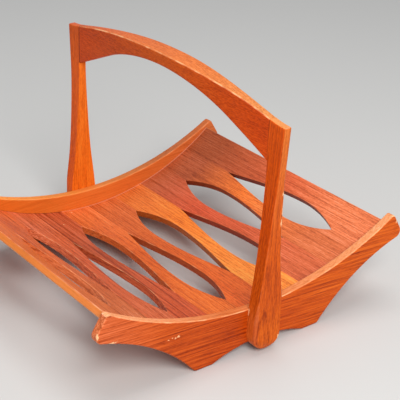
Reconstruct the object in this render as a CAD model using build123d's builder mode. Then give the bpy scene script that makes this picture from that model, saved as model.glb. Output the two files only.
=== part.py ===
import os
from math import acos, asin, cos, hypot, pi, radians, sin, sqrt, tan

from build123d import *

# Magazine rack: a slatted tray that curves up at its sides is housed in two end boards,
# and an arched carrying handle stands outside the boards on two posts.
# Frame: X runs along the end boards, Y runs from the front board to the rear board,
# Z is up, and the origin lies on the floor under the middle of the rack.

# Tray
tray_width = 450.0  # measured along the curve of the upper surface
slat_count = 10
slat_thickness = 9.0
tray_radius = 327.0  # curve of the upper surface
tray_height = 34.0  # upper surface above the floor, at the middle
edge_round = 2.0  # rounding of the two long sides of the tray

# Leaf-shaped openings, one on each joint between slats
leaf_half_width = 17.5
leaf_blunt_tip = 130.0  # from the middle of the tray to the blunt tip
leaf_widest = 57.5  # from the middle of the tray to the widest place
leaf_fine_tip = 83.0  # from the middle of the tray to the fine tip, on the other side
leaf_fine_slope = 0.16  # half-width gained per length at the fine tip
leaf_arris = 1.2

# End boards
board_span = 391.0  # over the outer faces of both boards
board_thickness = 12.0
rim_middle = 24.0  # board above the tray at the middle
rim_side = 4.8  # board above the tray at the tray's sides
board_overhang = 8.5  # board beyond the tray's sides
board_end_depth = 37.5  # length of the square-cut ends
board_top_round = 4.5  # upper corners of the ends
board_low_round = 9.0  # lower corners of the ends
board_arris = 2.2
housing_depth = 5.0  # how far the slats enter each board
housing_clearance = 0.1

# Feet of the end boards
arch_half_width = 70.0
arch_height = 12.9
foot_width = 25.0
foot_round = 6.0
flank_hollow = 13.6  # depth of the hollow curve from foot to tip
corner_search = 0.5  # how near to a corner its vertices are looked for

# Posts of the handle
post_floor_gap = 4.5
post_foot_width = 41.0
post_foot_top = 32.0  # the foot keeps its full width up to here
post_calf_width = 26.4
post_calf_height = 109.0
post_neck_width = 15.4
post_neck_height = 178.0
post_head_width = 10.4
post_thickness = 16.5
post_thick_top = 26.0
post_swell_start = 88.0  # the post thickens from here to its top
post_swell_slope = 0.07  # how fast it thickens at the top
post_heel_height = 18.0  # the outer face turns in below this height
post_heel_depth = 5.0  # by this much at the foot's lowest point
post_foot_side = 11.5  # side of the foot that is left flat where its arris is rounded over
post_crown_drop = 3.0  # fall of the post's top from the grip to its outer face
post_arris = 2.0

# Grip across the top
grip_height = 317.0  # top of the arch above the floor
grip_top_radius = 915.0
grip_width = 27.0
grip_depth = 16.4  # at the middle
grip_flat = 36.0  # length of full width at the middle
haunch_depth = 52.0  # depth of the grip where it meets a post
haunch_angle = 23.6
grip_arris = 2.6

# Hidden dowels
post_dowel_diameter = 6.0
post_dowel_cover = 3.5  # wood left beyond the holes, in the board and in the post
grip_dowel_diameter = 5.0
grip_dowel_in_post = 14.0
grip_dowel_in_grip = 20.0
grip_dowel_edge = 13.5  # from a dowel's middle to the edge of the grip
dowel_clearance = 0.1
dowel_end_gap = 0.5  # room for glue at the ends
dowel_chamfer = 0.6

# Places that follow from the sizes above
half_span = board_span / 2
tray_axis_height = tray_height + tray_radius
tray_half_angle = tray_width / tray_radius / 2
slat_angle = 2 * tray_half_angle / slat_count
under_radius = tray_radius + slat_thickness
slat_length = board_span - 2 * (board_thickness - housing_depth) - 2 * housing_clearance

side_x = tray_radius * sin(tray_half_angle)
side_z = tray_axis_height - tray_radius * cos(tray_half_angle)
board_top = tray_height + rim_middle
board_rise = side_z + rim_side - board_top
board_top_radius = (side_x**2 + board_rise**2) / (2 * board_rise)
board_axis_height = board_top + board_top_radius
tip_x = side_x + board_overhang
tip_angle = asin(tip_x / board_top_radius)
foot_outer = arch_half_width + foot_width

post_dowel_heights = {
    "upper": tray_height + rim_middle / 2,
    "lower": (arch_height + tray_height - slat_thickness) / 2,
}
post_dowel_in_board = board_thickness - post_dowel_cover
post_dowel_in_post = post_thickness - post_dowel_cover

joint_rise = sqrt(grip_top_radius**2 - half_span**2)  # from the middle of the grip's top arc
joint_top = grip_height - grip_top_radius + joint_rise
haunch_z = joint_top - haunch_depth
grip_dowel_heights = {"upper": joint_top - grip_dowel_edge, "lower": haunch_z + grip_dowel_edge}
sides = {"front": -1, "rear": 1}

os.makedirs("parts", exist_ok=True)


def save(piece, name):
    piece.label = name
    export_step(piece, f"parts/{name}.step")


def tray_point(radius, angle):
    return (radius * sin(angle), tray_axis_height - radius * cos(angle))


def tray_section(inner, outer, start, end):
    # A stretch of the tray's curved section, between two radii and two angles
    middle = (start + end) / 2
    with BuildLine() as outline:
        ThreePointArc(*(tray_point(inner, angle) for angle in (start, middle, end)))
        Line(tray_point(inner, end), tray_point(outer, end))
        ThreePointArc(*(tray_point(outer, angle) for angle in (end, middle, start)))
        Line(tray_point(outer, start), tray_point(inner, start))
    return outline.wires()[0]


def joint_plane(angle):
    # Plane that touches the tray's upper surface along a joint between slats
    x, z = tray_point(tray_radius, angle)
    return Plane(origin=(x, 0, z), x_dir=(cos(angle), 0, sin(angle)), z_dir=(-sin(angle), 0, cos(angle)))


def board_plane(side, depth):
    # Plane parallel to an end board, a depth inwards from its outer face
    place = (0, side * (half_span - depth), 0)
    return Plane(origin=place, x_dir=(side, 0, 0), z_dir=(0, -side, 0))


def lap_plane(side, height, facing):
    # Plane on the outer face of a board, where a post laps it, that faces out (1) or in (-1)
    ahead = side * facing
    return Plane(origin=(0, side * half_span, height), x_dir=(-ahead, 0, 0), z_dir=(0, ahead, 0))


def drill(side, facing, heights, diameter, depth):
    # Dowel holes in the face that the lap plane looks out of
    with Locations(*(lap_plane(side, height, facing) for height in heights.values())):
        Hole(diameter / 2 + dowel_clearance, depth=depth + dowel_end_gap)


def on_leaf_rim(edge):
    # Edges where a leaf breaks the tray's upper surface
    place = edge.center(CenterOf.MASS)
    depth = hypot(place.X, tray_axis_height - place.Z) - tray_radius
    return edge.geom_type != GeomType.LINE and depth < slat_thickness / 2 and abs(place.Y) < leaf_blunt_tip


# Tray slats, numbered from the left of the front board
nose_length = leaf_blunt_tip - leaf_widest
nose_radius = (nose_length**2 + leaf_half_width**2) / (2 * leaf_half_width)
for number in range(1, slat_count + 1):
    left_angle = (number - 1) * slat_angle - tray_half_angle
    right_angle = left_angle + slat_angle
    with BuildPart() as slat:
        with BuildSketch(Plane.XZ):
            make_face(tray_section(tray_radius, under_radius, left_angle, right_angle))
        extrude(amount=slat_length / 2, both=True)
        for joint, angle, into in ((number - 1, left_angle, 1), (number, right_angle, -1)):
            if joint in (0, slat_count):
                side_face = slat.faces().sort_by(Axis.X)[0 if joint == 0 else -1]
                fillet(side_face.edges().filter_by(Axis.Y), edge_round)
                continue
            # Each slat loses half a leaf here, and every other leaf is turned end for end
            turn = 1 if (joint - slat_count // 2) % 2 == 0 else -1
            blunt = (0, -turn * leaf_blunt_tip)
            widest = (into * leaf_half_width, -turn * leaf_widest)
            fine = (0, turn * leaf_fine_tip)
            beyond = -into * leaf_half_width
            with BuildSketch(joint_plane(angle).offset(slat_thickness)):
                with BuildLine():
                    RadiusArc(blunt, widest, -into * turn * nose_radius)
                    Spline(widest, fine, tangents=((0, turn), (-into * leaf_fine_slope, turn)))
                    Polyline(fine, (beyond, fine[1]), (beyond, blunt[1]), blunt)
                make_face()
            extrude(amount=-3 * slat_thickness, mode=Mode.SUBTRACT)
        fillet(slat.edges().filter_by(on_leaf_rim), leaf_arris)
    save(slat.part, f"tray_slat_{number}")


# End boards
top_corner = (tip_x, board_axis_height - board_top_radius * cos(tip_angle))
low_corner = (
    top_corner[0] + board_end_depth * sin(tip_angle),
    top_corner[1] - board_end_depth * cos(tip_angle),
)


def at_corner(corner):
    # Picks a corner of a board's outline, on both sides of its middle
    return lambda vertex: hypot(abs(vertex.X) - corner[0], vertex.Y - corner[1]) < corner_search


for name, side in sides.items():
    with BuildPart() as board:
        with BuildSketch(board_plane(side, 0)) as face:
            with BuildLine():
                ThreePointArc((-arch_half_width, 0), (0, arch_height), (arch_half_width, 0))
                Line((arch_half_width, 0), (foot_outer, 0))
                SagittaArc((foot_outer, 0), low_corner, flank_hollow)
                Line(low_corner, top_corner)
                ThreePointArc(top_corner, (0, board_top), (-top_corner[0], top_corner[1]))
                Line((-top_corner[0], top_corner[1]), (-low_corner[0], low_corner[1]))
                SagittaArc((-low_corner[0], low_corner[1]), (-foot_outer, 0), flank_hollow)
                Line((-foot_outer, 0), (-arch_half_width, 0))
            make_face()
            fillet(face.vertices().filter_by(at_corner(top_corner)), board_top_round)
            fillet(face.vertices().filter_by(at_corner(low_corner)), board_low_round)
            fillet(face.vertices().filter_by(at_corner((foot_outer, 0))), foot_round)
        extrude(amount=board_thickness)
        fillet(board.edges().filter_by(Axis.Y, reverse=True), board_arris)
        with BuildSketch(board_plane(side, board_thickness)):
            inner = tray_radius - housing_clearance
            outer = under_radius + housing_clearance
            reach = tray_half_angle + housing_clearance / tray_radius
            make_face(tray_section(inner, outer, -reach, reach))
        extrude(amount=-housing_depth, mode=Mode.SUBTRACT)
        drill(side, 1, post_dowel_heights, post_dowel_diameter, post_dowel_in_board)
    save(board.part, f"{name}_end_board")


# Posts, lapped on the outer faces of the boards
heel_run = post_heel_height - post_floor_gap
heel_radius = (heel_run**2 + post_heel_depth**2) / (2 * post_heel_depth)
heel_turn = acos(1 - post_thickness / heel_radius)
foot_radius = post_foot_width / 2
knob_radius = hypot(foot_radius, post_foot_side)


def heel_point(side, turn):
    # A point on the rounded heel, in the plane across the rack
    inset = heel_radius * (1 - cos(turn))
    return (side * (half_span + post_thickness - inset), post_heel_height - heel_radius * sin(turn))


def knob_point(side, turn):
    # A point on the round-over of the foot, in the same plane
    reach = half_span + knob_radius * sin(turn)
    return (side * reach, post_floor_gap + foot_radius - knob_radius * cos(turn))


for name, side in sides.items():
    crown = (side * (half_span + post_thick_top), joint_top - post_crown_drop)
    with BuildPart() as post:
        with BuildSketch(lap_plane(side, 0, 1)):
            with BuildLine():
                JernArc((0, post_floor_gap), (1, 0), foot_radius, 90)
                Line((foot_radius, post_floor_gap + foot_radius), (foot_radius, post_foot_top))
                Spline(
                    (foot_radius, post_foot_top),
                    (post_calf_width / 2, post_calf_height),
                    (post_neck_width / 2, post_neck_height),
                    (post_head_width / 2, haunch_z),
                    tangents=((0, 1), (0, 1)),
                )
                Line((post_head_width / 2, haunch_z), (post_head_width / 2, grip_height))
                Line((post_head_width / 2, grip_height), (0, grip_height))
                mirror(about=Plane.YZ)
            make_face()
        extrude(amount=2 * post_thick_top)
        with BuildSketch(Plane.YZ):
            with BuildLine():
                ThreePointArc(*(heel_point(side, heel_turn * part) for part in (1, 0.5, 0)))
                Line(heel_point(side, 0), (side * (half_span + post_thickness), post_swell_start))
                Spline(
                    (side * (half_span + post_thickness), post_swell_start),
                    crown,
                    tangents=((0, 1), (side * post_swell_slope, 1)),
                )
                TangentArc((side * half_span, joint_top), crown, tangent=(side * joint_rise, -half_span))
                Line((side * half_span, joint_top), heel_point(side, heel_turn))
            make_face()
        extrude(amount=post_foot_width, both=True, mode=Mode.INTERSECT)
        lap_face = post.faces().sort_by(Axis.Y)[-1 if side < 0 else 0]
        loose_edges = post.edges() - lap_face.edges()
        cross_edges = loose_edges.filter_by(Axis.X)
        fillet(loose_edges - cross_edges + cross_edges.sort_by(Axis.Z)[-1:], post_arris)
        # The foot is rounded over like a knob, and the rounding dies out up the post
        with BuildSketch(Plane.YZ):
            with BuildLine():
                ThreePointArc(*(knob_point(side, turn) for turn in (0, pi / 4, pi / 2)))
                Polyline(
                    knob_point(side, pi / 2),
                    (side * (half_span + knob_radius), post_calf_height),
                    (side * (half_span + 2 * post_thick_top), grip_height),
                    (side * half_span, grip_height),
                    knob_point(side, 0),
                )
            make_face()
        revolve(axis=Axis((0, side * half_span, 0), (0, 0, 1)), mode=Mode.INTERSECT)
        drill(side, -1, post_dowel_heights, post_dowel_diameter, post_dowel_in_post)
        drill(side, -1, grip_dowel_heights, grip_dowel_diameter, grip_dowel_in_post)
    save(post.part, f"{name}_post")


# Grip: an arch in side view, waisted towards the posts in plan
grip_under = grip_height - grip_depth
slope = radians(haunch_angle)
under_radius_y = (half_span * tan(slope) - (grip_under - haunch_z)) * cos(slope) / (1 - cos(slope))
bend = (under_radius_y * sin(slope), grip_under - under_radius_y * (1 - cos(slope)))
with BuildPart() as grip:
    with BuildSketch(Plane.YZ):
        with BuildLine():
            ThreePointArc((-half_span, joint_top), (0, grip_height), (half_span, joint_top))
            Polyline((half_span, joint_top), (half_span, haunch_z), bend)
            ThreePointArc(bend, (0, grip_under), (-bend[0], bend[1]))
            Polyline((-bend[0], bend[1]), (-half_span, haunch_z), (-half_span, joint_top))
        make_face()
    extrude(amount=grip_width, both=True)
    with BuildSketch(Plane.XY):
        with BuildLine():
            Line((grip_width / 2, 0), (grip_width / 2, grip_flat / 2))
            Spline(
                (grip_width / 2, grip_flat / 2),
                (post_head_width / 2, half_span),
                tangents=((0, 1), (0, 1)),
            )
            Line((post_head_width / 2, half_span), (0, half_span))
            mirror(about=Plane.YZ)
            mirror(about=Plane.XZ)
        make_face()
    extrude(amount=2 * grip_height, mode=Mode.INTERSECT)
    long_edges = grip.edges().filter_by(Axis.X, reverse=True).filter_by(Axis.Z, reverse=True)
    fillet(long_edges, grip_arris)
    for side in sides.values():
        drill(side, 1, grip_dowel_heights, grip_dowel_diameter, grip_dowel_in_grip)
save(grip.part, "handle_grip")


def make_dowel(name, side, height, diameter, inwards, outwards):
    # A chamfered peg through the lap plane, with its length inside and outside of that plane
    with BuildPart() as dowel:
        with BuildSketch(lap_plane(side, height, 1).offset(-inwards)):
            Circle(diameter / 2)
        extrude(amount=inwards + outwards)
        chamfer(dowel.edges().filter_by(GeomType.CIRCLE), dowel_chamfer)
    save(dowel.part, name)


for name, side in sides.items():
    for level, height in post_dowel_heights.items():
        dowel_name = f"{name}_post_{level}_dowel"
        make_dowel(dowel_name, side, height, post_dowel_diameter, post_dowel_in_board, post_dowel_in_post)
    for level, height in grip_dowel_heights.items():
        dowel_name = f"{name}_grip_{level}_dowel"
        make_dowel(dowel_name, side, height, grip_dowel_diameter, grip_dowel_in_grip, grip_dowel_in_post)
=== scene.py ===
import math

import bpy
from mathutils import Matrix, Vector


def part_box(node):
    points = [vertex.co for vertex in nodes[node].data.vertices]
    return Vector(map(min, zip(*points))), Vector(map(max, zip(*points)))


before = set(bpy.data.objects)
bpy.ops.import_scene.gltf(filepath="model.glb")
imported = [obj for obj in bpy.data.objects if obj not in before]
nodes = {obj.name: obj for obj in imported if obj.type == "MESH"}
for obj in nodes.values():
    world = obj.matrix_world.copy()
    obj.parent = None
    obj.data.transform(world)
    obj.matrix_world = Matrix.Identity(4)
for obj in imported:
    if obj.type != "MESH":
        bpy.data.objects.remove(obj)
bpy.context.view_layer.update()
bpy.ops.object.select_all(action="DESELECT")
print("frame loaded:", len(nodes), "pieces")


# shader building

def linear(red, green, blue):
    # a colour written as 0 to 255 becomes the shader's linear colour
    parts = []
    for part in (red, green, blue):
        share = part / 255
        parts.append(share / 12.92 if share <= 0.04045 else ((share + 0.055) / 1.055) ** 2.4)
    return (*parts, 1.0)


def putNode(tree, kind, settings=None, values=None):
    # one shader node: values are plain numbers or the sockets that feed it
    node = tree.nodes.new(kind)
    for name, setting in (settings or {}).items():
        setattr(node, name, setting)
    for name, value in (values or {}).items():
        if isinstance(value, bpy.types.NodeSocket):
            tree.links.new(value, node.inputs[name])
        else:
            node.inputs[name].default_value = value
    return node


def mathNode(tree, operation, *values):
    node = putNode(tree, "ShaderNodeMath", {"operation": operation}, dict(enumerate(values)))
    return node.outputs[0]


def oneMinus(tree, value):
    return mathNode(tree, "SUBTRACT", 1.0, value)


def vectorNode(tree, operation, *values):
    node = putNode(tree, "ShaderNodeVectorMath", {"operation": operation}, dict(enumerate(values)))
    return node.outputs["Value" if operation in ("LENGTH", "DOT_PRODUCT") else "Vector"]


def noiseNode(tree, vector, waves, detail, output="Fac"):
    # noise with so many waves to the metre on each axis
    stretched = vectorNode(tree, "MULTIPLY", vector, waves)
    node = putNode(tree, "ShaderNodeTexNoise", None, {"Vector": stretched, "Scale": 1.0, "Detail": detail})
    return node.outputs[output]


def centred(tree, value):
    # noise gathers near a half, so it is spread from about -1 to 1
    return mathNode(tree, "MULTIPLY", mathNode(tree, "SUBTRACT", value, 0.5), 4.0)


def centredColour(tree, vector, waves, detail):
    # noise of three numbers from -0.5 to 0.5, which pushes a point about
    return vectorNode(tree, "SUBTRACT", noiseNode(tree, vector, waves, detail, "Color"), (0.5, 0.5, 0.5))


def stepNode(tree, value, low, high):
    # smooth step from 0 at low to 1 at high
    node = putNode(tree, "ShaderNodeMapRange", {"interpolation_type": "SMOOTHSTEP"},
                   {"Value": value, "From Min": low, "From Max": high})
    return node.outputs["Result"]


def mixNode(tree, share, first, second):
    # inputs 6 and 7 are the mix node's two colours, and output 2 is their mix
    node = putNode(tree, "ShaderNodeMix", {"data_type": "RGBA", "clamp_factor": True},
                   {0: share, 6: first, 7: second})
    return node.outputs[2]


def objectSpot(tree):
    return putNode(tree, "ShaderNodeTexCoord").outputs["Object"]


def surfaceNormal(tree):
    return putNode(tree, "ShaderNodeNewGeometry").outputs["Normal"]


def axisPart(tree, vector, axis):
    return putNode(tree, "ShaderNodeSeparateXYZ", None, {"Vector": vector}).outputs[axis]


def newGroup(name, inputs, outputs):
    group = bpy.data.node_groups.new(name, "ShaderNodeTree")
    for side, sockets in (("INPUT", inputs), ("OUTPUT", outputs)):
        for socket, kind in sockets.items():
            group.interface.new_socket(socket, in_out=side, socket_type="NodeSocket" + kind)
    entry = group.nodes.new("NodeGroupInput").outputs
    leave = group.nodes.new("NodeGroupOutput").inputs
    return group, entry, leave


def placeGroup(tree, group, values):
    return putNode(tree, "ShaderNodeGroup", {"node_tree": group}, values).outputs


# grain of solid teak

figureWaves = {  # waves to the metre across, across and along the grain, then the detail of the noise
    "drift": ((9.0, 9.0, 2.2), 2.0),
    "spacing": ((60.0, 60.0, 1.5), 1.0),
    "tone": ((22.0, 22.0, 3.0), 2.0),
    "streak": ((270.0, 270.0, 6.0), 3.0),
    "fibre": ((720.0, 720.0, 15.0), 2.0),
    "fleck": ((900.0, 900.0, 210.0), 1.0),
    "pore": ((950.0, 950.0, 60.0), 1.0),
}
figureValues = {
    "spacingReach": 1.6,  # ring widths by which the rings crowd and spread
    "ringRise": (0.45, 0.88),  # a ring darkens slowly over this part of its width
    "ringFall": (0.92, 1.0),  # and clears quickly over this part
    "ringContrast": 1.6,  # most rings are faint and a few are dark
    "faintestRing": 0.15,
    "poreEdge": (0.54, 0.68),
    "fibreHeight": 0.3,
    "poreDepth": 0.6,
    "ringDepth": 0.25,
    "roughness": 0.42,
    "fibreRoughness": 0.1,
    "poreRoughness": 0.15,
}


def ringLines(group, spot, ringWidth):
    # growth rings round Z, each with its own strength
    radius = vectorNode(group, "LENGTH", vectorNode(group, "MULTIPLY", spot, (1.0, 1.0, 0.0)))
    spacing = noiseNode(group, spot, *figureWaves["spacing"])
    phase = mathNode(group, "ADD", mathNode(group, "DIVIDE", radius, ringWidth),
                     mathNode(group, "MULTIPLY", spacing, figureValues["spacingReach"]))
    share = mathNode(group, "FRACT", phase)
    rise = stepNode(group, share, *figureValues["ringRise"])
    fall = oneMinus(group, stepNode(group, share, *figureValues["ringFall"]))
    lot = putNode(group, "ShaderNodeTexWhiteNoise", {"noise_dimensions": "1D"},
                  {"W": mathNode(group, "FLOOR", phase)}).outputs["Value"]
    faintest = figureValues["faintestRing"]
    strength = mathNode(group, "MULTIPLY_ADD", mathNode(group, "POWER", lot, figureValues["ringContrast"]),
                        1.0 - faintest, faintest)
    return mathNode(group, "MULTIPLY", mathNode(group, "MULTIPLY", rise, fall), strength)


def buildTeakFigure():
    # rings round a pith line on Z, with streaks, fibres, flecks and pores along Z
    group, entry, leave = newGroup(
        "teakFigure",
        {"Vector": "Vector", "Ring Width": "Float", "Wander": "Float", "Bands": "Float", "Streaks": "Float",
         "Fibres": "Float", "Flecks": "Float", "Pores": "Float", "Tones": "Float",
         "Light": "Color", "Middle": "Color", "Dark": "Color"},
        {"Color": "Color", "Height": "Float", "Roughness": "Float"})
    spot = entry["Vector"]
    drift = centredColour(group, spot, *figureWaves["drift"])
    reach = putNode(group, "ShaderNodeVectorMath", {"operation": "SCALE"},
                    {0: drift, "Scale": entry["Wander"]})
    bent = vectorNode(group, "ADD", spot, reach.outputs["Vector"])
    band = mathNode(group, "MULTIPLY", ringLines(group, bent, entry["Ring Width"]), entry["Bands"])
    streak = centred(group, noiseNode(group, bent, *figureWaves["streak"]))
    fibre = centred(group, noiseNode(group, bent, *figureWaves["fibre"]))
    fleck = centred(group, noiseNode(group, bent, *figureWaves["fleck"]))
    tone = centred(group, noiseNode(group, bent, *figureWaves["tone"]))
    pore = stepNode(group, noiseNode(group, spot, *figureWaves["pore"]), *figureValues["poreEdge"])
    level = mathNode(group, "MULTIPLY_ADD", tone, entry["Tones"], 1.0)  # 0 is dark, 1 middle and 2 light
    level = mathNode(group, "MULTIPLY_ADD", streak, entry["Streaks"], level)
    level = mathNode(group, "MULTIPLY_ADD", fibre, entry["Fibres"], level)
    level = mathNode(group, "MULTIPLY_ADD", fleck, entry["Flecks"], level)
    level = mathNode(group, "SUBTRACT", level, band)
    level = mathNode(group, "SUBTRACT", level, mathNode(group, "MULTIPLY", pore, entry["Pores"]))
    lower = mixNode(group, level, entry["Dark"], entry["Middle"])
    colour = mixNode(group, mathNode(group, "SUBTRACT", level, 1.0), lower, entry["Light"])
    raised = mathNode(group, "MULTIPLY", fibre, figureValues["fibreHeight"])
    sunk = mathNode(group, "ADD", mathNode(group, "MULTIPLY", pore, figureValues["poreDepth"]),
                    mathNode(group, "MULTIPLY", band, figureValues["ringDepth"]))
    sheen = mathNode(group, "MULTIPLY_ADD", fibre, figureValues["fibreRoughness"], figureValues["roughness"])
    sheen = mathNode(group, "MULTIPLY_ADD", pore, figureValues["poreRoughness"], sheen)
    group.links.new(colour, leave["Color"])
    group.links.new(mathNode(group, "SUBTRACT", raised, sunk), leave["Height"])
    group.links.new(sheen, leave["Roughness"])
    return group


# wear, and painted highlights on edges and upper faces

arrisValues = {
    "edge": (0.35, 0.9),  # flat faces have 0 and an edge at 45 degrees has 1
    "edgePatchWaves": (55.0, 55.0, 55.0),
    "edgePatchDetail": 4.0,
    "edgePatchStep": (0.46, 0.66),
    "leastEdgePatch": 0.25,
    "wall": (0.1, 0.5),
}
paleTopValues = {
    "rise": (0.56, 0.84),  # how far up a face looks, from none to all of the paling
    "patchWaves": (30.0, 30.0, 30.0),
    "patchDetail": 3.0,
    "patchDepth": 0.5,
    "patchBase": 0.75,
}
chipValues = {
    "raggedWaves": (520.0, 520.0, 520.0),
    "raggedDetail": 3.0,
    "raggedReach": (2.4, 2.4, 2.4),
    "edge": (0.5, 1.1),
}


def buildWornAndLitArris():
    # pale edges: partly wear, partly a painted highlight along rounded edges
    # a rounded edge lies between two faces, so its normal leans half way from the axis
    # a wall's normal lies across the axis
    group, entry, leave = newGroup(
        "wornAndLitArris", {"Vector": "Vector", "Axis": "Vector", "Amount": "Float"},
        {"Mask": "Float", "Wall": "Float"})
    lean = vectorNode(group, "DOT_PRODUCT", surfaceNormal(group), entry["Axis"])
    square = mathNode(group, "MULTIPLY", lean, lean)
    slope = mathNode(group, "MULTIPLY", mathNode(group, "MULTIPLY", square, 4.0), oneMinus(group, square))
    edge = stepNode(group, slope, *arrisValues["edge"])
    patch = noiseNode(group, entry["Vector"], arrisValues["edgePatchWaves"], arrisValues["edgePatchDetail"])
    paleShare = stepNode(group, patch, *arrisValues["edgePatchStep"])
    least = arrisValues["leastEdgePatch"]
    soft = mathNode(group, "MULTIPLY_ADD", paleShare, 1.0 - least, least)
    mask = mathNode(group, "MULTIPLY", mathNode(group, "MULTIPLY", edge, soft), entry["Amount"])
    group.links.new(mask, leave["Mask"])
    group.links.new(oneMinus(group, stepNode(group, square, *arrisValues["wall"])), leave["Wall"])
    return group


def buildPaleTop():
    # faces that look up are made paler: partly wear from hands and papers, partly a painted highlight
    group, entry, leave = newGroup("paleTop", {"Vector": "Vector", "Amount": "Float"}, {"Mask": "Float"})
    rise = stepNode(group, axisPart(group, surfaceNormal(group), "Z"), *paleTopValues["rise"])
    patch = noiseNode(group, entry["Vector"], paleTopValues["patchWaves"], paleTopValues["patchDetail"])
    uneven = mathNode(group, "MULTIPLY_ADD", patch, paleTopValues["patchDepth"], paleTopValues["patchBase"])
    mask = mathNode(group, "MULTIPLY", rise, entry["Amount"])
    group.links.new(mathNode(group, "MULTIPLY", mask, uneven), leave["Mask"])
    return group


def buildChipMark():
    # a knock that has bared the wood, with a ragged outline and a half size on each axis
    group, entry, leave = newGroup(
        "chipMark", {"Vector": "Vector", "Place": "Vector", "Size": "Vector"}, {"Mask": "Float"})
    ragged = centredColour(group, entry["Vector"], chipValues["raggedWaves"], chipValues["raggedDetail"])
    away = vectorNode(group, "SUBTRACT", entry["Vector"], entry["Place"])
    offset = vectorNode(group, "DIVIDE", away, entry["Size"])
    push = vectorNode(group, "MULTIPLY", ragged, chipValues["raggedReach"])
    share = vectorNode(group, "LENGTH", vectorNode(group, "ADD", offset, push))
    group.links.new(oneMinus(group, stepNode(group, share, *chipValues["edge"])), leave["Mask"])
    return group


teakFigure = buildTeakFigure()
wornAndLitArris = buildWornAndLitArris()
paleTop = buildPaleTop()
chipMark = buildChipMark()
print("shader groups built")


# timber

grainTurns = {  # turns that lay the grain of a piece on the log's Z axis
    "X": (0.0, math.radians(-90), 0.0),
    "Y": (math.radians(90), 0.0, 0.0),
    "Z": (0.0, 0.0, 0.0),
}
timberColours = {
    # bare wood at knocks, and the painted highlight on worn edges
    "wornAndHighlight": linear(250, 190, 138),
    # painted shade in the tray's creases, and in the walls of the openings, where it is partly dirt
    "crease": linear(112, 36, 14),
    # a painted highlight along the tray's rear joint
    "jointHighlight": linear(236, 158, 122),
    "seam": linear(64, 20, 10),
    # pale sapwood, partly a painted highlight on the side of the plank
    "sapwoodAndLitSide": linear(243, 139, 56),
}
timberValues = {
    "lightGain": (1.31, 1.78, 2.8),  # light and dark parts of a timber, against its middle colour
    "darkGain": (0.48, 0.325, 0.22),
    "brightest": (0.95, 0.95, 0.95),
    "facing": (0.5, 0.9),  # how far a face looks one way, where a piece doesn't say
    "shelteredWearAndHighlight": 0.08,  # share of the wear and painted highlight on the sides that hands don't reach
    "bumpStrength": 0.35,
    "bumpDistance": 0.0004,
}


def tonesAlong(tree, spot, tones):
    # middle colour of the timber along one axis, through stops of a place in metres and a colour
    axis, *stops = tones
    start, end = stops[0][0], stops[-1][0]
    share = putNode(tree, "ShaderNodeMapRange", None,
                    {"Value": axisPart(tree, spot, axis), "From Min": start, "From Max": end})
    ramp = putNode(tree, "ShaderNodeValToRGB", None, {"Fac": share.outputs["Result"]})
    elements = ramp.color_ramp.elements  # a new ramp has its first and last stop
    elements[0].color = linear(*stops[0][1])
    elements[-1].color = linear(*stops[-1][1])
    for place, colour in stops[1:-1]:
        elements.new((place - start) / (end - start)).color = linear(*colour)
    return ramp.outputs["Color"]


def facingMask(tree, facing):
    # faces that look one way, up to a second limit if there is one, and along part of an axis
    look = vectorNode(tree, "DOT_PRODUCT", surfaceNormal(tree), facing["way"])
    mask = stepNode(tree, look, *facing.get("from", timberValues["facing"]))
    if "until" in facing:
        mask = mathNode(tree, "MULTIPLY", mask, oneMinus(tree, stepNode(tree, look, *facing["until"])))
    if "along" in facing:
        axis, low, high = facing["along"]
        place = axisPart(tree, objectSpot(tree), axis)
        mask = mathNode(tree, "MULTIPLY", mask, stepNode(tree, place, low, high))
    return mask


def tintFace(tree, colour, facing, tint):
    share = mathNode(tree, "MULTIPLY", facingMask(tree, facing), facing["amount"])
    return mixNode(tree, share, colour, tint)


def tintLine(tree, spot, colour, line):
    # a line beside the inner face of a board or post: painted shade in the tray's creases, a painted
    # highlight along the tray's rear joint, and dark seams at the handle
    low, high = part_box(line["beside"])
    face, inward = (high.y, 1.0) if high.y < 0.0 else (low.y, -1.0)
    start, end = (face + inward * line[limit] for limit in ("start", "end"))
    share = mathNode(tree, "MULTIPLY", stepNode(tree, axisPart(tree, spot, "Y"), start, end), line["amount"])
    return mixNode(tree, share, colour, timberColours[line["tint"]])


def placeFigure(tree, spot, centre, middle, look):
    # the log's heart lies across the grain from the middle of the piece, by look["pith"]
    moved = vectorNode(tree, "SUBTRACT", spot, centre)
    turn = Vector(grainTurns[look["grain"]]) + Vector(look.get("slant", (0.0, 0.0, 0.0)))
    log = putNode(tree, "ShaderNodeMapping", None,
                  {"Vector": moved, "Rotation": turn, "Location": (*look["pith"], look["seed"])})
    light, dark = (
        vectorNode(tree, "MULTIPLY", middle, [part ** look["spread"] for part in timberValues[gain]])
        for gain in ("lightGain", "darkGain"))
    light = vectorNode(tree, "MINIMUM", light, timberValues["brightest"])
    return placeGroup(tree, teakFigure, {
        "Vector": log.outputs["Vector"], "Ring Width": look["ringWidth"], "Wander": look["wander"],
        "Bands": look["bands"], "Streaks": look["streaks"], "Fibres": look["fibres"],
        "Flecks": look["flecks"], "Pores": look["pores"], "Tones": look["patches"],
        "Light": light, "Middle": middle, "Dark": dark})


def bareAndLitEdges(tree, spot, arris, look):
    # worn edges and knocks, where the finish is gone; the edges also carry a painted highlight
    bareAndLit = arris["Mask"]
    if "wornAndLitSide" in look:
        sheltered = timberValues["shelteredWearAndHighlight"]
        side = facingMask(tree, look["wornAndLitSide"])
        bareAndLit = mathNode(tree, "MULTIPLY", bareAndLit,
                        mathNode(tree, "MULTIPLY_ADD", side, 1.0 - sheltered, sheltered))
    for place, size in look.get("chips", ()):
        chip = placeGroup(tree, chipMark, {"Vector": spot, "Place": place, "Size": size})
        bareAndLit = mathNode(tree, "MAXIMUM", bareAndLit, chip["Mask"])
    return bareAndLit


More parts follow.
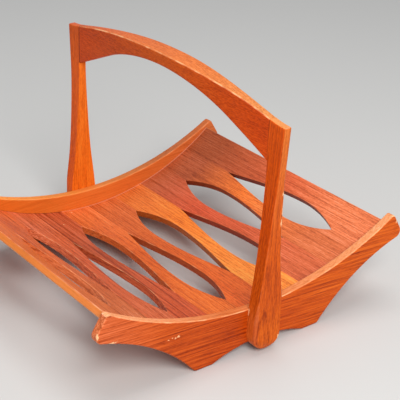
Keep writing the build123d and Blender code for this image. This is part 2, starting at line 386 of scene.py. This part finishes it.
def makeTimber(name, look, centre):
    material = bpy.data.materials.new(name)
    material.use_nodes = True
    tree = material.node_tree
    tree.nodes.clear()
    spot = objectSpot(tree)
    middle = tonesAlong(tree, spot, look["tones"])
    if "topTones" in look:  # upper edges made paler: partly wear, partly a painted highlight
        paleShare = placeGroup(tree, paleTop, {"Vector": spot, "Amount": look["paleTop"]})["Mask"]
        topColour = tonesAlong(tree, spot, look["topTones"])
        middle = mixNode(tree, paleShare, middle, topColour)
    # painted light and shade: a face that looks one way has its colour raised or lowered
    for facing in look.get("facings", ()):
        gained = vectorNode(tree, "MULTIPLY", middle, facing["gain"])
        middle = mixNode(tree, facingMask(tree, facing), middle, gained)
    figure = placeFigure(tree, spot, centre, middle, look)
    arris = placeGroup(tree, wornAndLitArris,
                       {"Vector": spot, "Axis": look["axis"](tree, spot), "Amount": look["wearAndHighlight"]})
    colour = figure["Color"]
    if "topTones" in look:  # the paler top also smooths the figure
        colour = mixNode(tree, mathNode(tree, "MULTIPLY", paleShare, look["smoothTop"]), colour, topColour)
    if "rubbedFace" in look:  # a face that papers have rubbed plain
        colour = tintFace(tree, colour, look["rubbedFace"], middle)
    if "darkWalls" in look:  # walls of the openings made darker: painted shade, partly dirt and oil
        walls = mathNode(tree, "MULTIPLY", arris["Wall"], facingMask(tree, look["wallSide"]))
        walls = mathNode(tree, "MULTIPLY", walls, look["darkWalls"])
        colour = mixNode(tree, walls, colour, timberColours["crease"])
    if "sapwoodAndLitSide" in look:  # a strip of pale sapwood on one side of the plank, partly a painted highlight on that side
        colour = tintFace(tree, colour, look["sapwoodAndLitSide"], timberColours["sapwoodAndLitSide"])
    for line in look.get("lines", ()):
        colour = tintLine(tree, spot, colour, line)
    # bare wood and painted edge highlights
    colour = mixNode(tree, bareAndLitEdges(tree, spot, arris, look), colour, timberColours["wornAndHighlight"])
    bump = putNode(tree, "ShaderNodeBump", None,
                   {"Height": figure["Height"], "Strength": timberValues["bumpStrength"],
                    "Distance": timberValues["bumpDistance"]})
    shader = putNode(tree, "ShaderNodeBsdfPrincipled", None,
                     {"Base Color": colour, "Roughness": figure["Roughness"],
                      "Normal": bump.outputs["Normal"], "Specular IOR Level": look["gloss"]})
    putNode(tree, "ShaderNodeOutputMaterial", None, {"Surface": shader.outputs["BSDF"]})
    return material


def straightAxis(direction):
    return lambda tree, spot: direction


def dress(name, look):
    low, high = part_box(name)
    material = makeTimber(name + "_" + look["wood"], look, (low + high) / 2)
    nodes[name].data.materials.clear()
    nodes[name].data.materials.append(material)


# tray slats, each cut from its own plank

slatLooks = {  # tones near the front end, the middle and the rear end; brighter fronts and darker rear ends on the right-hand slats are painted light and shade
    "tray_slat_1": {
        "tones": ("Y", (-0.15, (225, 120, 65)), (-0.01, (220, 105, 35)), (0.14, (240, 110, 40))),
        "pith": (0.07, 0.05), "bands": 0.4,
        "sapwoodAndLitSide": {"way": (-1.0, 0.0, 0.0), "from": (0.4, 0.65), "amount": 0.6}},
    "tray_slat_2": {
        "tones": ("Y", (-0.15, (210, 110, 60)), (-0.07, (205, 100, 50)), (0.15, (230, 105, 50))),
        "pith": (0.05, 0.09), "bands": 0.7, "streaks": 0.28, "fibres": 0.7, "darkWalls": 0.0},
    "tray_slat_3": {
        "tones": ("Y", (-0.12, (210, 100, 55)), (0.0, (215, 95, 50)), (0.14, (225, 110, 65))),
        "pith": (-0.06, 0.07), "bands": 0.5, "streaks": 0.28, "fibres": 0.66, "darkWalls": 0.05},
    "tray_slat_4": {
        "tones": ("Y", (-0.13, (205, 85, 40)), (0.04, (180, 75, 35)), (0.13, (200, 90, 50))),
        "pith": (0.02, 0.06), "bands": 0.85, "streaks": 0.28, "fibres": 0.7, "darkWalls": 0.08,
        "chips": (((-0.0664, 0.1414, 0.0408), (0.0012, 0.0014, 0.0012)),)},
    "tray_slat_5": {
        "tones": ("Y", (-0.15, (225, 105, 35)), (0.03, (220, 95, 25)), (0.17, (235, 115, 55))),
        "pith": (0.09, 0.04), "bands": 0.45, "darkWalls": 0.22,
        "chips": (((-0.0326, 0.1755, 0.0357), (0.0012, 0.0014, 0.0012)),)},
    "tray_slat_6": {
        "tones": ("Y", (-0.15, (240, 105, 35)), (0.01, (210, 90, 25)), (0.17, (210, 100, 45))),
        "pith": (-0.08, 0.05), "bands": 0.4, "darkWalls": 0.52},
    "tray_slat_7": {
        "tones": ("Y", (-0.15, (255, 145, 55)), (0.06, (245, 125, 35)), (0.17, (220, 110, 45))),
        "pith": (0.1, 0.05), "bands": 0.4, "darkWalls": 0.54},
    "tray_slat_8": {
        "tones": ("Y", (-0.14, (210, 100, 55)), (0.06, (215, 85, 45)), (0.17, (180, 85, 45))),
        "pith": (0.06, 0.07), "bands": 0.3, "darkWalls": 0.64},
    "tray_slat_9": {
        "tones": ("Y", (-0.11, (215, 110, 60)), (0.03, (250, 125, 45)), (0.13, (180, 85, 45))),
        "pith": (-0.09, 0.05), "bands": 0.25, "darkWalls": 0.6},
    "tray_slat_10": {
        "tones": ("Y", (-0.11, (240, 130, 80)), (-0.02, (220, 100, 55)), (0.13, (165, 75, 35))),
        "pith": (0.04, 0.08), "bands": 0.25, "darkWalls": 0.8},
}
trayValues = {
    "axisHeight": 0.361,  # axis of the tray's curve, in metres above the floor
    "firstSeed": 1.7,
    "seedStep": 2.3,
    "shadedSlats": 4,  # slats from the left whose rear joint gets painted shade, where the others get a painted highlight
}
trayLines = {  # each starts and ends so many metres from the board's inner face
    # painted shade in the crease against the front board
    "front": {
        "beside": "front_end_board", "start": 0.005, "end": 0.0003, "tint": "crease", "amount": 0.4},
    # painted shade in the crease against the rear board
    "rearShade": {
        "beside": "rear_end_board", "start": 0.0023, "end": 0.0005, "tint": "crease", "amount": 0.45},
    # a painted highlight along the joint with the rear board
    "rearHighlight": {
        "beside": "rear_end_board", "start": 0.0023, "end": 0.0011, "tint": "jointHighlight", "amount": 0.6},
}


def trayAxis(tree, spot):
    # direction from a point on the tray to the axis of its curve
    away = vectorNode(tree, "SUBTRACT", (0.0, 0.0, trayValues["axisHeight"]), spot)
    return vectorNode(tree, "NORMALIZE", vectorNode(tree, "MULTIPLY", away, (1.0, 0.0, 1.0)))


slatGrain = {
    "wood": "teak", "grain": "Y", "ringWidth": 0.0034, "wander": 0.008, "streaks": 0.21, "fibres": 0.54,
    "flecks": 0.27, "pores": 0.34, "patches": 0.25, "spread": 1.15, "gloss": 0.3, "wearAndHighlight": 0.45,
    "axis": trayAxis, "darkWalls": 0.15, "wallSide": {"way": (-1.0, 0.0, 0.0), "from": (-0.8, 0.2)}}
for place, (name, look) in enumerate(slatLooks.items()):
    rearLine = trayLines["rearShade" if place < trayValues["shadedSlats"] else "rearHighlight"]
    seed = trayValues["firstSeed"] + trayValues["seedStep"] * place
    dress(name, {**slatGrain, **look, "lines": (trayLines["front"], rearLine), "seed": seed})
print("tray dressed")


# end boards

boardLooks = {
    "front_end_board": {
        "tones": ("X", (-0.215, (210, 95, 45)), (-0.14, (200, 80, 20)), (-0.045, (190, 70, 10)),
                  (0.21, (215, 90, 15))),
        "topTones": ("X", (-0.19, (250, 165, 110)), (-0.05, (215, 110, 50)), (0.2, (235, 150, 95))),
        # painted shade on the inner top edge and a painted highlight on the left end
        "facings": ({"way": (0.0, 1.0, 0.0), "from": (0.25, 0.6), "until": (0.8, 0.97),
                     "gain": (0.6, 0.5, 0.45)},
                    {"way": (-1.0, 0.0, 0.0), "from": (0.35, 0.7), "gain": (1.1, 1.45, 1.9)}),
        "pith": (0.1, 0.06), "slant": (0.0, math.radians(-3.5), 0.0), "bands": 0.55, "seed": 31.0,
        "chips": (((-0.1298, -0.1955, 0.058), (0.001, 0.002, 0.0008)),
                  ((-0.1256, -0.1955, 0.0566), (0.0018, 0.002, 0.0014)),
                  ((-0.1215, -0.1955, 0.0578), (0.0022, 0.002, 0.0017)),
                  ((-0.1354, -0.1955, 0.0573), (0.0012, 0.002, 0.0006)),
                  ((0.2158, -0.1942, 0.1162), (0.0035, 0.0016, 0.0022)),
                  ((0.2205, -0.1953, 0.1085), (0.0012, 0.0014, 0.004)),
                  ((-0.2293, -0.1942, 0.0955), (0.0018, 0.0022, 0.0055)),
                  ((-0.212, -0.1951, 0.0803), (0.008, 0.0016, 0.0018)))},
    "rear_end_board": {
        "tones": ("X", (-0.12, (220, 110, 35)), (0.13, (225, 115, 50)), (0.215, (215, 110, 55))),
        "topTones": ("X", (-0.12, (255, 150, 60)), (0.14, (185, 100, 55)), (0.22, (200, 105, 55))),
        "rubbedFace": {"way": (0.0, -1.0, 0.0), "amount": 0.62},
        "pith": (0.09, -0.08), "slant": (0.0, math.radians(2.5), 0.0), "bands": 0.3, "streaks": 0.24,
        "fibres": 0.5, "wearAndHighlight": 0.25, "seed": 37.0},
}
boardGrain = {
    "wood": "teak", "grain": "X", "ringWidth": 0.0046, "wander": 0.007, "streaks": 0.3, "fibres": 0.68,
    "flecks": 0.14, "pores": 0.3, "patches": 0.25, "spread": 1.15, "gloss": 0.12, "wearAndHighlight": 0.7,
    "wornAndLitSide": {"way": (0.0, 0.0, 1.0), "from": (0.42, 0.56)}, "axis": straightAxis((0.0, 1.0, 0.0)),
    "paleTop": 1.0, "smoothTop": 0.55}
for name, look in boardLooks.items():
    dress(name, {**boardGrain, **look})
print("end boards dressed")


# handle

postLooks = {
    "front_post": {
        "tones": ("Z", (0.015, (215, 95, 15)), (0.075, (200, 80, 10)), (0.29, (225, 95, 10))),
        "topTones": ("Y", (-0.22, (230, 145, 80)), (-0.195, (230, 145, 80))),
        # painted light and shade: a painted highlight on the upper front face and low on the left side,
        # redder painted shade on the upper left side, and painted shade on the foot's ridge
        "facings": ({"way": (0.0, -1.0, 0.0), "along": ("Z", 0.12, 0.32), "gain": (1.0, 1.6, 9.0)},
                    {"way": (-1.0, 0.0, 0.0), "along": ("Z", 0.1, 0.17), "gain": (1.0, 0.82, 0.4)},
                    {"way": (-1.0, 0.0, 0.0), "along": ("Z", 0.075, 0.04), "gain": (1.05, 1.25, 4.0)},
                    {"way": (-0.71, -0.71, 0.0), "from": (0.84, 0.96), "along": ("Z", 0.075, 0.05),
                     "gain": (0.82, 0.66, 0.7)}),
        "pith": (0.012, 0.0305), "slant": (math.radians(-4), 0.0, 0.0), "bands": 0.5, "seed": 43.0,
        "chips": (((0.0042, -0.2157, 0.2105), (0.0016, 0.0016, 0.003)),
                  ((0.0062, -0.2139, 0.1735), (0.0015, 0.0016, 0.005)),
                  ((0.0058, -0.2148, 0.192), (0.0008, 0.0012, 0.016)),
                  ((-0.0196, -0.1962, 0.0547), (0.0014, 0.0012, 0.0052)),
                  ((0.0152, -0.212, 0.0186), (0.0016, 0.0016, 0.003)))},
    "rear_post": {
        "tones": ("Z", (0.1, (235, 110, 25)), (0.24, (240, 115, 30)), (0.29, (220, 105, 35))),
        "topTones": ("Y", (0.195, (225, 105, 50)), (0.22, (215, 95, 50))),
        # painted shade on the left side, redder and darker
        "facings": ({"way": (-1.0, 0.0, 0.0), "gain": (0.97, 0.72, 0.45)},),
        "pith": (0.05, -0.06), "bands": 0.25, "seed": 47.0},
}
postGrain = {
    "wood": "teak", "grain": "Z", "ringWidth": 0.0036, "wander": 0.006, "streaks": 0.19, "fibres": 0.44,
    "flecks": 0.27, "pores": 0.3, "patches": 0.2, "spread": 1.1, "gloss": 0.12, "wearAndHighlight": 0.9,
    "wornAndLitSide": {"way": (1.0, 0.0, 0.0), "from": (0.1, 0.55)}, "axis": straightAxis((1.0, 0.0, 0.0)),
    "paleTop": 1.0, "smoothTop": 0.5}
for name, look in postLooks.items():
    dress(name, {**postGrain, **look})

gripLook = {
    "tones": ("Y", (-0.175, (215, 75, 10)), (-0.005, (205, 85, 15)), (0.175, (210, 75, 10))),
    "topTones": ("Y", (-0.18, (225, 140, 75)), (-0.07, (225, 120, 55)), (0.18, (220, 100, 45))),
    "lines": ({"beside": "rear_post", "start": 0.0021, "end": 0.0005, "tint": "seam", "amount": 0.85},
              {"beside": "front_post", "start": 0.0015, "end": 0.0003, "tint": "seam", "amount": 0.28}),
    "wood": "teak", "pith": (0.08, 0.05), "bands": 0.2, "seed": 53.0, "grain": "Y", "ringWidth": 0.004,
    "wander": 0.008, "streaks": 0.1, "fibres": 0.22, "flecks": 0.42, "pores": 0.25, "patches": 0.2,
    "spread": 1.1, "gloss": 0.12, "wearAndHighlight": 0.8, "wornAndLitSide": {"way": (0.0, 0.0, 1.0), "from": (0.1, 0.5)},
    "axis": straightAxis((1.0, 0.0, 0.0)), "paleTop": 1.0, "smoothTop": 0.0}
dress("handle_grip", gripLook)
print("handle dressed")


# dowels, glued in out of sight

dowelLook = {
    "tones": ("Y", (-0.2, (205, 170, 130)), (0.2, (205, 170, 130))),
    "wood": "beech", "pith": (0.05, 0.05), "bands": 0.3, "seed": 61.0, "grain": "Y", "ringWidth": 0.0025,
    "wander": 0.006, "streaks": 0.3, "fibres": 0.4, "flecks": 0.0, "pores": 0.2, "patches": 0.2,
    "spread": 0.4, "gloss": 0.2, "wearAndHighlight": 0.0, "axis": straightAxis((0.0, 1.0, 0.0))}
for name in sorted(nodes):
    if name.endswith("_dowel"):
        dress(name, dowelLook)
print("dowels dressed")


# floor, light and camera

stageLook = {
    "floorSize": 40.0,
    "floorColour": linear(206, 205, 202),
    "floorRoughness": 0.9,
    "floorGloss": 0.1,
    "worldColour": linear(232, 234, 238),
    "worldStrength": 0.5,
}


def buildFloor():
    bpy.ops.mesh.primitive_plane_add(size=stageLook["floorSize"])
    floor = bpy.context.object
    floor.name = "studioFloor"
    material = bpy.data.materials.new("studioFloor")
    material.use_nodes = True
    shader = material.node_tree.nodes["Principled BSDF"]
    shader.inputs["Base Color"].default_value = stageLook["floorColour"]
    shader.inputs["Roughness"].default_value = stageLook["floorRoughness"]
    shader.inputs["Specular IOR Level"].default_value = stageLook["floorGloss"]
    floor.data.materials.append(material)
    floor.select_set(False)


def buildWorld():
    world = bpy.data.worlds.new("studioWorld")
    world.use_nodes = True
    sky = world.node_tree.nodes["Background"]
    sky.inputs["Color"].default_value = stageLook["worldColour"]
    sky.inputs["Strength"].default_value = stageLook["worldStrength"]
    bpy.context.scene.world = world


def turnToAim(look):
    # lamps and cameras look along their own -Z
    return (Vector(look["aim"]) - Vector(look["place"])).to_track_quat("-Z", "Y")


lampLooks = {  # place, aim and size in metres, and power in watts
    "keyLamp": {"place": (-0.7, -1.7, 1.5), "aim": (0.0, 0.0, 0.12), "size": 1.1, "power": 41.0},
    "topLamp": {"place": (0.3, 0.1, 2.3), "aim": (0.0, 0.0, 0.1), "size": 1.6, "power": 19.0},
}


def buildLamp(name, look):
    light = bpy.data.lights.new(name, "AREA")
    light.shape = "DISK"
    light.size = look["size"]
    light.energy = look["power"]
    lamp = bpy.data.objects.new(name, light)
    bpy.context.scene.collection.objects.link(lamp)
    lamp.location = look["place"]
    lamp.rotation_euler = turnToAim(look).to_euler()


cameraLook = {
    "place": (-0.8154, -1.1051, 0.7792),
    "aim": (0.0, -0.0713, 0.1459),
    "roll": 2.134,  # degrees
    "lens": 107.4,  # millimetres, and so is the sensor's width
    "sensor": 36.0,
}


def buildCamera():
    data = bpy.data.cameras.new("photoCamera")
    data.lens = cameraLook["lens"]
    data.sensor_width = cameraLook["sensor"]
    data.sensor_fit = "HORIZONTAL"
    camera = bpy.data.objects.new("photoCamera", data)
    bpy.context.scene.collection.objects.link(camera)
    turn = turnToAim(cameraLook).to_matrix() @ Matrix.Rotation(math.radians(cameraLook["roll"]), 3, "Z")
    camera.matrix_world = Matrix.Translation(cameraLook["place"]) @ turn.to_4x4()
    bpy.context.scene.camera = camera


buildFloor()
buildWorld()
for name, look in lampLooks.items():
    buildLamp(name, look)
buildCamera()
bpy.context.scene.view_settings.view_transform = "Standard"
print("floor, light and camera set")
